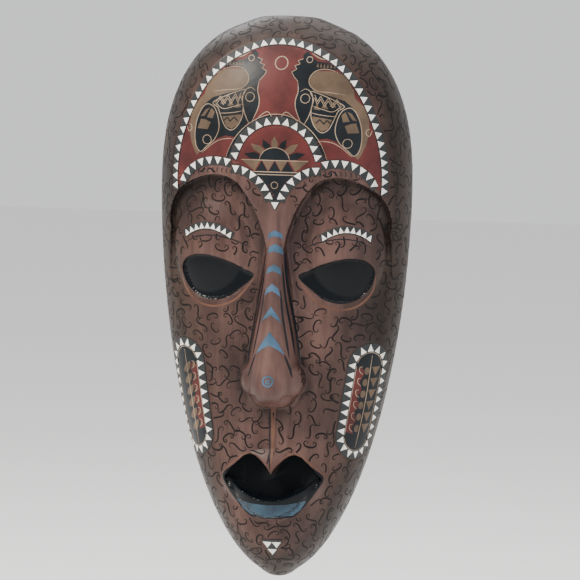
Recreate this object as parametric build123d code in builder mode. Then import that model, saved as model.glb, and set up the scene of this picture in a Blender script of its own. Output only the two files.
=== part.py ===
"""Hand-carved wall mask: one hollowed block of wood, with triangles of white
shell pressed into beds of black mastic, and a ring hanger on its back.

Millimetres. The face looks along -Y, +X is to the viewer's right and +Z is up.
The back of the mask is the plane y = 0, which lies on the wall. The origin is
the point on the wall that carries the raised hanger ring. Heights in the
helpers below are counted from the tip of the chin.
"""

from build123d import *
from math import cos, pi, sin
import os

# Overall size
mask_height = 500.0
mask_width = 226.0
forehead_depth = 76.0
face_depth = 60.0
nose_depth = 99.0

# Wood
rim_wall = 15.0
front_wall = 20.0
socket_depth = 15.0
hollow_floor = 22.0
hollow_top = 428.0

# Shell chips and the mastic that holds them
chip_base = 6.6
chip_height = 6.4
chip_thickness = 1.2
chip_pitch = 8.5
cheek_chip_base = 5.8
small_chip_base = 4.9
small_chip_height = 5.2
small_chip_pitch = 5.7
bed_depth = 2.0
bed_margin = 0.7
mastic_rise = 0.3
chip_rise = 0.3

# Ring hanger
strap_side_play = 1.2
strap_length = 32.0
strap_corner = 3.0
strap_thickness = 0.9
ring_wire = 2.2
ring_width = 19.0
ring_lead = 3.5
ring_reach = ring_width / 2 + ring_lead
ring_corner = 1.6
ring_play = 0.08
ring_gap = 0.4
strap_width = ring_width - ring_wire - 2 * ring_corner - strap_side_play
screw_shank = 2.8
screw_length = 14.0
screw_head = 6.0
screw_head_height = 1.5
screw_round = 0.45 * screw_head_height
screw_point = 0.8 * screw_shank
screw_point_taper = 26.0
slot_length = 0.62 * screw_head
slot_width = 0.7
slot_depth = 0.55 * screw_head_height
screw_edge = 5.0
screw_spacing = 9.0
screw_play = 0.1
recess_depth = 5.6
recess_margin = 2.5
recess_wood = 12.0

half_width = mask_width / 2
hinge_height = hollow_top + recess_wood + recess_margin + strap_length
hang_height = hinge_height + ring_reach - ring_wire
widest_height = 0.70 * mask_height
brow_height = 0.73 * mask_height
cheek_height = 0.46 * mask_height
socket_start = 0.455 * mask_height
chin_height = 0.18 * mask_height
crown_power = 2.4
jaw_powers = (1.9, 1.85)
crown_depth_powers = (2.2, 2.4)
chin_depth_powers = (2.6, 2.0)
section_fullness = 0.62
least_section = 3.0
far_front = 2.0 * nose_depth
wall_overlap = 4.0
path_samples = 40
path_step = 0.004

os.makedirs("parts", exist_ok=True)


def level(height):
    """The plane across the mask at a height above the chin."""
    return Plane.XY.offset(height - hang_height)


def spot(across, up):
    """A point of the front view, from shares of half the width and of the height."""
    return (across * half_width, up * mask_height - hang_height)


def front_view(y=0.0):
    """The plane of the front view, with the viewer's right and up as its axes."""
    return Plane(origin=(0, y, 0), x_dir=(1, 0, 0), z_dir=(0, -1, 0))


def eased(height, start, end):
    """A share that goes softly from 0 at a starting height to 1 at an end height."""
    share = min(1.0, max(0.0, (height - start) / (end - start)))
    return share * share * (3 - 2 * share)


def outline_half(height):
    """Half the mask's width at a height above the chin."""
    if height > widest_height:
        share = (height - widest_height) / (mask_height - widest_height)
        return half_width * (1 - share**crown_power) ** (1 / crown_power)
    share = (widest_height - height) / widest_height
    return half_width * (1 - share ** jaw_powers[0]) ** (1 / jaw_powers[1])


def outline_depth(height):
    """Depth of the plain face without nose and lips at a height above the chin."""
    if height > brow_height:
        share = (height - brow_height) / (mask_height - brow_height)
        return forehead_depth * (1 - share ** crown_depth_powers[0]) ** (1 / crown_depth_powers[1])
    if height < chin_height:
        share = (chin_height - height) / chin_height
        return face_depth * (1 - share ** chin_depth_powers[0]) ** (1 / chin_depth_powers[1])
    return face_depth + (forehead_depth - face_depth) * eased(height, cheek_height, brow_height)


section_shares = (0.004, 0.016, 0.04, 0.08, 0.14, 0.22, 0.32, 0.42, 0.52, 0.62,
                  0.72, 0.80, 0.87, 0.925, 0.962, 0.984, 0.996)


def arched_loft(sections, back=0.0):
    """A solid through cross-sections, each a flat back and two arched cheeks.

    A section is its height above the chin, half its width and its depth.
    """
    with BuildPart() as solid:
        for height, half, depth in sections:
            with BuildSketch(level(height)):
                with BuildLine():
                    full_half, full_depth = section_fullness * half, section_fullness * depth
                    Bezier((half, 0), (half, -full_depth), (full_half, -depth), (0, -depth))
                    Bezier((0, -depth), (-full_half, -depth), (-half, -full_depth), (-half, 0))
                    Polyline((-half, 0), (-half, back), (half, back), (half, 0))
                make_face()
        loft()
    return solid.part


def dome(inset=0.0, sink=0.0):
    """The plain outside of the mask with its skin moved inwards by the inset.

    The sink is how far the floor of the eye sockets lies under the face.
    """
    sections = []
    for share in section_shares:
        height = share * mask_height
        half = outline_half(height) - inset
        depth = outline_depth(height) - inset - sink * socket_share(height)
        if half > least_section and depth > least_section:
            sections.append((height, half, depth))
    return arched_loft(sections, back=wall_overlap)


def socket_share(height):
    """How much of the socket's full depth the floor has at a height."""
    return eased(height, socket_start, widest_height)


def surface_hit(shell, point, direction):
    """First point of a surface met from a point, with the outward normal there."""
    hits = shell.find_intersection_points(Axis(point, direction))
    start = Vector(*point)
    way = Vector(*direction).normalized()
    ahead = [hit for hit in hits if (hit[0] - start).dot(way) > 0]
    place, normal = min(ahead, key=lambda hit: (hit[0] - start).dot(way))
    if normal.dot(way) > 0:
        normal = normal * -1
    return place, normal.normalized()


def row_stations(shell, points, direction, pitch):
    """Evenly spaced places along a smooth line thrown onto a surface.

    Each is the point, the surface normal and the way along the row.
    """
    with BuildLine() as line:
        Spline(*points)
    return stations_on(shell, line.edge(), direction, pitch, closed=False)


def stations_on(shell, path, direction, pitch, closed):
    """Evenly spaced places on the surface along a path in front of it."""

    def hit(share):
        share = share % 1.0 if closed else min(1.0, max(0.0, share))
        return surface_hit(shell, tuple(path @ share), direction)

    hits = [hit(index / path_samples)[0] for index in range(path_samples)] + [hit(1.0)[0]]
    runs = [0.0]
    for before, after in zip(hits, hits[1:]):
        runs.append(runs[-1] + (after - before).length)
    count = round(runs[-1] / pitch)
    stations = []
    for number in range(count if closed else count + 1):
        target = runs[-1] * number / count
        index = max(i for i in range(path_samples) if runs[i] <= target + 0.001)
        part_way = (target - runs[index]) / (runs[index + 1] - runs[index])
        share = (index + part_way) / path_samples
        place, normal = hit(share)
        along = hit(share + path_step)[0] - hit(share - path_step)[0]
        stations.append((place, normal, along.normalized()))
    return stations


def chip_row(stations, outward, base, tall):
    """Separate triangular chips, one at each station, pointing to one side of the row.

    The chips stand a little out of the mastic, on flat faces square to the surface.
    """
    with BuildPart() as row:
        for place, normal, along in stations:
            x_dir = along if outward > 0 else along * -1
            top = place + normal * (mastic_rise + chip_rise)
            with BuildSketch(Plane(origin=top, x_dir=x_dir, z_dir=normal)):
                with BuildLine():
                    Polyline((-base / 2, -tall / 2), (base / 2, -tall / 2), (0, tall / 2), close=True)
                make_face()
            extrude(amount=-chip_thickness)
    return row.part


def row_edges(stations, outward, half, plane):
    """Both edges of a band along a row, as points of the plane it is seen from.

    The first edge is the one that the chips point to.
    """
    tips = []
    feet = []
    for place, normal, along in stations:
        across = normal.cross(along).normalized() * (half * outward)
        tips.append(plane.to_local_coords(place + across))
        feet.append(plane.to_local_coords(place - across))
    return [(p.X, p.Y) for p in tips], [(p.X, p.Y) for p in feet]


def open_band(stations, outward, base, tall, plane, reach):
    """A prism over an open row of chips, a margin wider and longer than the row."""
    first, last = stations[0], stations[-1]
    grow = base / 2 + bed_margin
    rows = [(first[0] - first[2] * grow, first[1], first[2])]
    rows += stations[1:-1]
    rows += [(last[0] + last[2] * grow, last[1], last[2])]
    tips, feet = row_edges(rows, outward, tall / 2 + bed_margin, plane)
    with BuildPart() as prism:
        with BuildSketch(plane):
            with BuildLine():
                Spline(*tips)
                Line(tips[-1], feet[-1])
                Spline(*reversed(feet))
                Line(feet[0], tips[0])
            make_face()
        extrude(amount=reach)
    return prism.part


def ring_band(stations, outward, tall, plane, reach):
    """A prism over a closed row of chips."""
    tips, feet = row_edges(stations, outward, tall / 2 + bed_margin, plane)
    with BuildPart() as prism:
        for edge, way in ((tips, Mode.ADD), (feet, Mode.SUBTRACT)):
            with BuildSketch(plane):
                with BuildLine():
                    Spline(*edge, periodic=True)
                make_face()
            extrude(amount=reach, mode=way)
    return prism.part


def skin(outer, inner, prism, *cutters):
    """The layer between two surfaces inside a prism, less what is set into it."""
    with BuildPart() as layer:
        add(outer)
        add(inner, mode=Mode.SUBTRACT)
        add(prism, mode=Mode.INTERSECT)
        for cutter in cutters:
            add(cutter, mode=Mode.SUBTRACT)
    return layer.part


# The plain surfaces that the features are cut into
outer = dome()
outer_proud = dome(-mastic_rise)
outer_sunk = dome(bed_depth)
socket_floor = dome(sink=socket_depth)
socket_under = dome(inset=bed_depth, sink=socket_depth)
outer_shell = outer.shells()[0]


def flipped(points, side):
    """Points of the right half, thrown to the given side."""
    return [(side * x, z) for x, z in points]


# Mask body -----------------------------------------------------------------------

socket_edge = [(0.876, 0.636), (0.850, 0.672), (0.779, 0.696), (0.664, 0.713),
               (0.531, 0.723), (0.425, 0.723), (0.319, 0.713), (0.239, 0.692),
               (0.177, 0.670), (0.124, 0.641), (0.084, 0.612), (0.071, 0.584),
               (0.088, 0.550), (0.133, 0.512), (0.212, 0.486), (0.372, 0.470),
               (0.549, 0.466), (0.726, 0.478), (0.841, 0.512), (0.885, 0.570)]
eye_lid_line = [(0.177, 0.545), (0.372, 0.568), (0.566, 0.579), (0.708, 0.574), (0.765, 0.556)]
eye_low_line = [(0.765, 0.556), (0.735, 0.532), (0.642, 0.506), (0.522, 0.500),
                (0.327, 0.512), (0.177, 0.545)]
bulge_spot = (0.50, 0.596)
bulge_radii = (0.354 * half_width, 19.0, 0.116 * mask_height)
bulge_middle = 40.0
bulge_turn = 14.0
eye_set_in = 3.5


def bulge(side, inset=0.0):
    """The egg shape of one eye and its lid, turned to follow the face."""
    x, z = spot(*bulge_spot)
    with BuildPart() as egg:
        Sphere(1.0)
        scale(by=tuple(radius - inset for radius in bulge_radii))
    return Location((side * x, -bulge_middle, z), (0, 0, side * bulge_turn)) * egg.part


nose_sections = [
    # height share, half width at the foot, half width of the ridge, ridge depth share
    (0.704, 6.5, 5.0, 0.730),
    (0.670, 8.0, 6.0, 0.752),
    (0.600, 9.5, 7.0, 0.760),
    (0.540, 15.0, 7.5, 0.803),
    (0.494, 18.5, 8.5, 0.850),
    (0.430, 22.0, 11.0, 0.920),
    (0.380, 24.5, 15.5, 0.980),
    (0.352, 25.0, 18.0, 1.000),
    (0.334, 23.5, 17.0, 0.965),
    (0.320, 19.0, 13.0, 0.860),
    (0.312, 12.0, 8.0, 0.720),
]
nose_foot = 0.86 * face_depth
nose_swell = 0.88

with BuildPart() as nose:
    for up, foot, ridge, reach in nose_sections:
        tip = reach * nose_depth
        with BuildSketch(level(up * mask_height)):
            with BuildLine():
                Polyline((-foot, -nose_foot), (-foot, -nose_foot / 2),
                         (foot, -nose_foot / 2), (foot, -nose_foot))
                Bezier((foot, -nose_foot), (nose_swell * foot, -(nose_foot + tip) / 2),
                       (ridge, -tip), (0, -tip))
                Bezier((0, -tip), (-ridge, -tip),
                       (-nose_swell * foot, -(nose_foot + tip) / 2), (-foot, -nose_foot))
            make_face()
    loft()

wing_radii = (11.5, 17.0, 15.0)
wing_spot = (0.155, 0.362)
wing_depth = 0.66 * nose_depth

muzzle_radii = (50.0, 30.0, 38.0)
muzzle_height = 0.184 * mask_height
muzzle_depth = 0.64 * face_depth

lip_sections = 9
lip_reach = 41.0
lip_height = 0.146 * mask_height
lip_rise = 19.0
lip_front = 1.25 * face_depth
lip_fall = 24.0
lip_shelf = 20.0
lip_face = 15.0
lip_shelf_loss = 0.55
lip_face_loss = 0.88
lip_slope = 0.22
lip_undercut = 0.3

with BuildPart() as lower_lip:
    for number in range(lip_sections):
        share = 2 * number / (lip_sections - 1) - 1
        bend = share * share
        front = -(lip_front - lip_fall * bend)
        edge = lip_height + lip_rise * bend - hang_height
        shelf = lip_shelf * (1 - lip_shelf_loss * bend)
        face = lip_face * (1 - lip_face_loss * bend)
        with BuildSketch(Plane.YZ.offset(lip_reach * share)):
            with BuildLine():
                Polyline((front, edge), (front + shelf, edge + lip_slope * shelf),
                         (front + shelf, edge - face - lip_undercut * shelf),
                         (front + lip_slope * face, edge - face), close=True)
            make_face()
    loft()

lobe_line = [(0.389, 0.184), (0.300, 0.207), (0.177, 0.226), (0.071, 0.213), (0.0, 0.191)]
mouth_low_line = [(-0.389, 0.184), (-0.300, 0.160), (-0.133, 0.148), (0.0, 0.146),
                  (0.133, 0.148), (0.300, 0.160), (0.389, 0.184)]
mouth_floor = 0.77 * face_depth

hollow_sections = 13
hollow_end_share = 0.4
brow_thinning = 6.0


def hollow():
    """The space carved out of the back."""
    sections = []
    for number in range(hollow_sections):
        share = 0.5 - 0.5 * cos(pi * (number + 0.35) / (hollow_sections - 0.3))
        height = hollow_floor + share * (hollow_top - hollow_floor)
        fullness = (1 - abs(2 * share - 1) ** 6) ** 0.5
        half = outline_half(height) - rim_wall
        half *= hollow_end_share + (1 - hollow_end_share) * fullness
        depth = outline_depth(height) - front_wall - brow_thinning * socket_share(height)
        depth *= fullness
        sections.append((height, half, depth))
    return arched_loft(sections, back=wall_overlap)


recess_width = ring_width + 2 * recess_margin
recess_low = hinge_height - strap_length - recess_margin
recess_high = hinge_height + ring_reach + recess_margin
screw_heights = [hinge_height - strap_length + screw_edge,
                 hinge_height - strap_length + screw_edge + screw_spacing]


def cutter(lines, depth=0.0):
    """A prism towards the front whose outline is a chain of smooth lines."""
    with BuildPart() as prism:
        with BuildSketch(front_view(-depth)):
            with BuildLine():
                for line in lines:
                    Spline(*[spot(*point) for point in line], periodic=len(lines) == 1)
            make_face()
        extrude(amount=far_front)
    return prism.part


def less(solid, *others):
    """A solid with others taken away."""
    with BuildPart() as rest:
        add(solid)
        for other in others:
            add(other, mode=Mode.SUBTRACT)
    return rest.part


def ellipsoid(middle, radii):
    """An egg shape with three radii along X, Y and Z."""
    with BuildPart() as egg:
        Sphere(1.0)
        scale(by=radii)
    return Location(middle) * egg.part


# Rows of shell chips and the bands that hold them ---------------------------------

arch_line = [(-0.830, 0.700), (-0.826, 0.748), (-0.801, 0.782), (-0.765, 0.810),
             (-0.717, 0.838), (-0.620, 0.880), (-0.487, 0.916), (-0.292, 0.945),
             (-0.150, 0.957), (0.0, 0.961)]
brow_line = [(0.752, 0.712), (0.690, 0.731), (0.590, 0.745), (0.480, 0.749), (0.392, 0.747)]
medallion_line = [(-0.333, 0.761), (-0.300, 0.779), (-0.261, 0.794), (-0.204, 0.807),
                  (-0.135, 0.817), (-0.066, 0.822), (0.0, 0.8235)]
vee_line = [(0.318, 0.7355), (0.235, 0.731), (0.165, 0.721), (0.110, 0.709), (0.055, 0.688)]
vee_tip = (0.0, 0.6725)
lid_line = [(0.372, 0.617), (0.460, 0.627), (0.549, 0.631), (0.637, 0.628), (0.726, 0.617)]
cheek_spot = (0.690, 0.322)
cheek_half_width = 18.0
cheek_half_height = 49.0
cheek_lean = 0.15
cheek_turn = 44.0
cheek_reach = 90.0
patch_side = 1.6
patch_tip = 1.9
chip_gap = 0.4
chin_chip_base = 7.8
chin_chip_height = 6.2
chin_spot = (0.0, 0.056)
inwards = (0, 1, 0)


def across_middle(points):
    """A line given on the left half, continued over the middle to the right half."""
    return points + [(-x, up) for x, up in reversed(points[:-1])]


def in_front(points):
    """Front view points given as shares, placed well in front of the face."""
    return [(spot(*point)[0], -far_front, spot(*point)[1]) for point in points]


class Row:
    """Some chips, the prism over their band and the surfaces the band lies between."""

    def __init__(self, chips, prism, surfaces):
        self.chips = chips
        self.prism = prism
        self.proud, self.sunk = surfaces

    def bed(self, *others):
        """The mastic, with a pocket for each chip and room for other bands."""
        return skin(self.proud, self.sunk, self.prism, self.chips, *others)

    def groove(self):
        """What is cut from the wood for this band."""
        return less(self.prism, self.sunk)


def front_row(shell, surfaces, line, outward, base, tall, pitch, start=0.0):
    """A row laid out in the front view, its prism starting at a depth."""
    stations = row_stations(shell, in_front(line), inwards, pitch)
    prism = open_band(stations, outward, base, tall, front_view(-start), far_front)
    return Row(chip_row(stations, outward, base, tall), prism, surfaces)


def patch(middles, base, tall):
    """Chips that all point down, in a bed that is one larger triangle."""
    stations = []
    for x, z in middles:
        place, normal = surface_hit(outer_shell, (x, -far_front, z), inwards)
        stations.append((place, normal, Vector(-1, 0, 0)))
    half = max(x for x, z in middles) + base / 2 + patch_side
    top = max(z for x, z in middles) + tall / 2 + patch_side
    low = min(z for x, z in middles) - tall / 2 - patch_tip
    with BuildPart() as prism:
        with BuildSketch(front_view()):
            with BuildLine():
                Polyline((-half, top), (half, top), (0, low), close=True)
            make_face()
        extrude(amount=far_front)
    return Row(chip_row(stations, 1, base, tall), prism.part, dome_skins)


def cheek_plane(side):
    """The plane of a cheek's oval: Y along its length, Z out of the cheek."""
    x, z = spot(*cheek_spot)
    place, normal = surface_hit(outer_shell, (side * x, -far_front, z), inwards)
    lean = Vector(side * cheek_lean, 0, 1).normalized()
    out = Vector(side * sin(cheek_turn * pi / 180), -cos(cheek_turn * pi / 180), 0)
    out = (out - lean * out.dot(lean)).normalized()
    return Plane(origin=place - out * 2 * chip_height, x_dir=lean.cross(out), z_dir=out)


def cheek_row(side):
    """The oval of chips on one cheek, laid out square to the cheek."""
    plane = cheek_plane(side)
    start = plane.origin + plane.z_dir * cheek_reach
    straight = cheek_half_height - cheek_half_width
    with BuildLine(Plane(origin=start, x_dir=plane.x_dir, z_dir=plane.z_dir)) as ring:
        Line((cheek_half_width, -straight), (cheek_half_width, straight))
        ThreePointArc((cheek_half_width, straight), (0, cheek_half_height),
                      (-cheek_half_width, straight))
        Line((-cheek_half_width, straight), (-cheek_half_width, -straight))
        ThreePointArc((-cheek_half_width, -straight), (0, -cheek_half_height),
                      (cheek_half_width, -straight))
    stations = stations_on(outer_shell, ring.wire(), plane.z_dir * -1, chip_pitch, True)
    prism = ring_band(stations, -1, chip_height, plane, cheek_reach)
    return Row(chip_row(stations, -1, cheek_chip_base, chip_height), prism, dome_skins)


dome_skins = (outer_proud, outer_sunk)
arch = front_row(outer_shell, dome_skins, across_middle(arch_line), 1,
                 chip_base, chip_height, chip_pitch)
medallion = front_row(outer_shell, dome_skins, across_middle(medallion_line), 1,
                      chip_base, chip_height, chip_pitch)
brows = {}
vees = {}
lids = {}
cheeks = {}
for name, side in (("left", -1), ("right", 1)):
    egg = bulge(side)
    egg_skins = (bulge(side, -mastic_rise), bulge(side, bed_depth))
    brows[name] = front_row(outer_shell, dome_skins, flipped(brow_line, side), side,
                            chip_base, chip_height, chip_pitch)
    vees[name] = front_row(outer_shell, dome_skins, flipped(vee_line, side), side,
                           chip_base, chip_height, chip_pitch)
    lids[name] = front_row(egg.shells()[0], egg_skins, flipped(lid_line, side), side,
                           small_chip_base, small_chip_height, small_chip_pitch, bulge_middle)
    cheeks[name] = cheek_row(side)
vee_end = patch([spot(*vee_tip)], chip_base, chip_height)
chin_x, chin_z = spot(*chin_spot)
chin_spread = (chin_chip_base + chip_gap) / 2
chin_rise = (chin_chip_height + chip_gap) / 2
chin = patch([(-chin_spread, chin_z + chin_rise), (chin_spread, chin_z + chin_rise),
              (0, chin_z - chin_rise)], chin_chip_base, chin_chip_height)
rows = [arch, medallion, vee_end, chin]
rows += [*brows.values(), *vees.values(), *lids.values(), *cheeks.values()]


# The carved block ------------------------------------------------------------------

with BuildPart() as mask_body:
    add(outer)
    for side in (-1, 1):
        add(less(cutter([flipped(socket_edge, side)]), socket_floor), mode=Mode.SUBTRACT)
    for side in (-1, 1):
        add(bulge(side))
        eye = cutter([flipped(eye_lid_line, side), flipped(eye_low_line, side)])
        add(less(eye, bulge(side, eye_set_in), socket_under), mode=Mode.SUBTRACT)
    add(nose.part)
    for side in (-1, 1):
        x, z = spot(*wing_spot)
        add(ellipsoid((side * x, -wing_depth, z), wing_radii))
    add(ellipsoid((0, -muzzle_depth, muzzle_height - hang_height), muzzle_radii))
    mouth = cutter([lobe_line, flipped(lobe_line, -1), mouth_low_line], mouth_floor)
    add(mouth, mode=Mode.SUBTRACT)
    add(lower_lip.part)
    add(less(hollow(), lower_lip.part), mode=Mode.SUBTRACT)
    for row in rows:
        add(row.groove(), mode=Mode.SUBTRACT)
    split(bisect_by=Plane.XZ, keep=Keep.TOP)
    with BuildSketch(Plane.XZ):
        with Locations((0, (recess_low + recess_high) / 2 - hang_height)):
            RectangleRounded(recess_width, recess_high - recess_low, recess_margin)
    extrude(amount=recess_depth, mode=Mode.SUBTRACT)
    for height in screw_heights:
        with Locations(Plane(origin=(0, -recess_depth, height - hang_height), z_dir=(0, 1, 0))):
            Hole(screw_shank / 2 + screw_play / 2, screw_length + 1.0)
mask_body.part.label = "mask_body"
export_step(mask_body.part, "parts/mask_body.step")


# Mastic beds and chips -------------------------------------------------------------

def save(part, label):
    """Name a finished piece and write it to its own file."""
    part.label = label
    export_step(part, f"parts/{label}.step")


save(arch.bed(), "forehead_arch_bed")
save(arch.chips, "forehead_arch_shells")
save(medallion.bed(), "medallion_arch_bed")
save(medallion.chips, "medallion_arch_shells")
for name in ("left", "right"):
    save(brows[name].bed(arch.prism, medallion.prism), f"{name}_brow_bed")
    save(brows[name].chips, f"{name}_brow_shells")
    save(lids[name].bed(), f"{name}_eyelid_bed")
    save(lids[name].chips, f"{name}_eyelid_shells")
    save(cheeks[name].bed(), f"{name}_cheek_bed")
    save(cheeks[name].chips, f"{name}_cheek_shells")

with BuildPart() as vee_prism:
    add(vees["left"].prism)
    add(vees["right"].prism)
    add(vee_end.prism)
with BuildPart() as vee_chips:
    add(vees["left"].chips)
    add(vees["right"].chips)
    add(vee_end.chips)
others = (arch.prism, medallion.prism, brows["left"].prism, brows["right"].prism)
save(skin(outer_proud, outer_sunk, vee_prism.part, vee_chips.part, *others), "medallion_vee_bed")
save(vee_chips.part, "medallion_vee_shells")
save(chin.bed(), "chin_bed")
save(chin.chips, "chin_shells")


# Ring hanger -----------------------------------------------------------------------

hinge_depth = recess_depth - ring_gap - strap_thickness - ring_wire / 2
knuckle_inner = ring_wire / 2 + ring_play
knuckle_outer = knuckle_inner + strap_thickness
hinge = (-hinge_depth, hinge_height - hang_height)

with BuildPart() as hanger_strap:
    with BuildSketch(Plane.YZ) as side_view:
        with Locations(hinge):
            Circle(knuckle_outer)
        with Locations((-recess_depth + strap_thickness / 2, hinge[1] - strap_length / 2)):
            Rectangle(strap_thickness, strap_length)
        with Locations(hinge):
            Circle(knuckle_inner, mode=Mode.SUBTRACT)
    extrude(amount=strap_width / 2, both=True)
    foot = hanger_strap.edges().filter_by(Axis.Y).group_by(Axis.Z)[0]
    fillet(foot, strap_corner)
    for height in screw_heights:
        with Locations(Plane(origin=(0, -recess_depth, height - hang_height), z_dir=(0, 1, 0))):
            Cylinder(screw_shank / 2 + screw_play, 4 * strap_thickness, mode=Mode.SUBTRACT)
save(hanger_strap.part, "hanger_strap")

ring_middle = ring_width / 2 - ring_wire / 2
ring_low = ring_reach - ring_wire / 2
ring_side = ring_low - ring_middle

with BuildPart() as hanger_ring:
    with BuildLine(Plane(origin=(0, hinge[0], hinge[1]), x_dir=(1, 0, 0), z_dir=(0, -1, 0))) as loop:
        corner = ring_corner * (1 - 0.5**0.5)
        Line((-ring_middle + ring_corner, 0), (ring_middle - ring_corner, 0))
        ThreePointArc((ring_middle - ring_corner, 0), (ring_middle - corner, -corner),
                      (ring_middle, -ring_corner))
        Line((ring_middle, -ring_corner), (ring_middle, -ring_side))
        ThreePointArc((ring_middle, -ring_side), (0, -ring_low), (-ring_middle, -ring_side))
        Line((-ring_middle, -ring_side), (-ring_middle, -ring_corner))
        ThreePointArc((-ring_middle, -ring_corner), (-ring_middle + corner, -corner),
                      (-ring_middle + ring_corner, 0))
    with BuildSketch(Plane(origin=(0, hinge[0], hinge[1]), z_dir=(1, 0, 0))):
        Circle(ring_wire / 2)
    sweep(path=loop.wire())
save(hanger_ring.part, "hanger_ring")

with BuildPart() as hanger_screws:
    for height in screw_heights:
        seat = Plane(origin=(0, strap_thickness - recess_depth, height - hang_height),
                     x_dir=(1, 0, 0), z_dir=(0, 1, 0))
        with BuildSketch(seat):
            Circle(screw_head / 2)
        extrude(amount=screw_head_height)
        with BuildSketch(seat):
            Circle(screw_shank / 2)
        extrude(amount=-(screw_length - screw_shank))
        with BuildSketch(seat.offset(-(screw_length - screw_shank))):
            Circle(screw_shank / 2)
        extrude(amount=-screw_point, taper=screw_point_taper)
    tops = hanger_screws.edges().group_by(Axis.Y)[-1]
    fillet(tops, screw_round)
    for height in screw_heights:
        with BuildSketch(Plane(origin=(0, strap_thickness + screw_head_height - recess_depth,
                                       height - hang_height), x_dir=(1, 0, 0), z_dir=(0, 1, 0))):
            Rectangle(slot_length, slot_width)
            Rectangle(slot_width, slot_length)
        extrude(amount=-slot_depth, mode=Mode.SUBTRACT)
save(hanger_screws.part, "hanger_screws")
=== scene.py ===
import bpy
import math
import random
import numpy as np
from mathutils import Matrix, Vector, geometry
from mathutils.bvhtree import BVHTree


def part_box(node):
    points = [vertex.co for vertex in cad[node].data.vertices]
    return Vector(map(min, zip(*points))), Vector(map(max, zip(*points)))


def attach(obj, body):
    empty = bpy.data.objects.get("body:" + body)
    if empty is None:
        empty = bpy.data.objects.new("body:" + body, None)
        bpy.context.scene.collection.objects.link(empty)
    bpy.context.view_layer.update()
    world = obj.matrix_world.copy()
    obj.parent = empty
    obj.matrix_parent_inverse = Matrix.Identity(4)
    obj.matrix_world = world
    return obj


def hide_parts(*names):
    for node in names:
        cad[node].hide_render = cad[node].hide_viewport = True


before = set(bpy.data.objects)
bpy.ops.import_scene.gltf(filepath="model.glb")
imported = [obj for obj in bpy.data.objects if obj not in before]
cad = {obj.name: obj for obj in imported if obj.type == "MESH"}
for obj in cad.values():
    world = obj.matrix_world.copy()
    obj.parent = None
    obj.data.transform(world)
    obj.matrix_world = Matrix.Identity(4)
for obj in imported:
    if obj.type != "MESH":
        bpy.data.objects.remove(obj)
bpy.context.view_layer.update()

# View: the mask hangs face on, seen a little from its right and from above, with its
# chin leaning a degree to the left.
low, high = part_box("mask_body")
mask_tall = high.z - low.z
chin = low.z
aim_across, aim_depth, aim_up = 0.0095, -0.036, 0.0085
middle = Vector(((low.x + high.x) / 2 + aim_across, aim_depth,
                 (low.z + high.z) / 2 + aim_up))
turn, rise, lean = math.radians(8.5), math.radians(5.0), math.radians(1.2)
distance = 8.0
view_margin = 1.0413
sensor = 36
camera_data = bpy.data.cameras.new("camera")
camera_data.sensor_width = sensor
camera_data.lens = sensor * distance / (mask_tall * view_margin)
camera = bpy.data.objects.new("camera", camera_data)
bpy.context.scene.collection.objects.link(camera)
towards = Vector((math.sin(turn) * math.cos(rise), -math.cos(turn) * math.cos(rise),
                  math.sin(rise)))
camera.location = middle + towards * distance
aim = towards.to_track_quat("Z", "Y").to_matrix() @ Matrix.Rotation(lean, 3, "Z")
camera.rotation_euler = aim.to_euler()
bpy.context.scene.camera = camera


def linear(code, alpha=1.0):
    """An sRGB hex colour as the linear values that shaders take."""
    values = [int(code[place:place + 2], 16) / 255 for place in (1, 3, 5)]
    return [v / 12.92 if v <= 0.04045 else ((v + 0.055) / 1.055) ** 2.4 for v in values] + [alpha]


def add_node(material, kind, inputs=None, stops=None, **fields):
    """Add a shader node, set its fields, sockets and ramp stops, and wire what feeds it."""
    made = material.node_tree.nodes.new(kind)
    for field, value in fields.items():
        setattr(made, field, value)
    for socket, value in (inputs or {}).items():
        if isinstance(value, bpy.types.NodeSocket):
            material.node_tree.links.new(value, made.inputs[socket])
        else:
            made.inputs[socket].default_value = value
    if stops:
        elements = made.color_ramp.elements
        while len(elements) < len(stops):
            elements.new(0.5)
        for element, (place, colour) in zip(elements, stops):
            element.position = place
            element.color = colour
    return made


def new_material(name):
    """An empty node material and its surface shader."""
    material = bpy.data.materials.new(name)
    material.use_nodes = True
    shader = material.node_tree.nodes["Principled BSDF"]
    return material, shader


# Floor: a plain pale sheet well under the hanging mask, lit by soft boxes.
bpy.ops.object.select_all(action="DESELECT")
bpy.ops.mesh.primitive_plane_add(size=12, location=(0, 0, chin - 0.16))
floor = bpy.context.object
floor.name = "floor"
floor_paper, shader = new_material("floor_paper")
shader.inputs["Base Color"].default_value = linear("#f3f2f0")
shader.inputs["Roughness"].default_value = 0.9
floor.data.materials.append(floor_paper)
world = bpy.data.worlds.new("studio")
world.use_nodes = True
world.node_tree.nodes["Background"].inputs["Color"].default_value = linear("#f4f5f7")
world.node_tree.nodes["Background"].inputs["Strength"].default_value = 1.0
bpy.context.scene.world = world
for name, place, size, power, colour in (
        ("key", (-0.95, -1.15, 1.15), 0.55, 40, "#fff6ea"),
        ("fill", (1.5, -1.3, 0.1), 1.4, 5, "#e6efff"),
        ("rim", (-0.6, 1.2, 1.0), 1.0, 10, "#ffffff"),
        ("floor_light", (0.0, 0.4, 1.9), 3.0, 60, "#ffffff")):
    light_data = bpy.data.lights.new(name, "AREA")
    light_data.size = size
    light_data.energy = power
    light_data.color = linear(colour)[:3]
    light = bpy.data.objects.new(name, light_data)
    bpy.context.scene.collection.objects.link(light)
    light.location = place
    light.rotation_euler = (Vector(place) - middle).to_track_quat("Z", "Y").to_euler()


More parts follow.
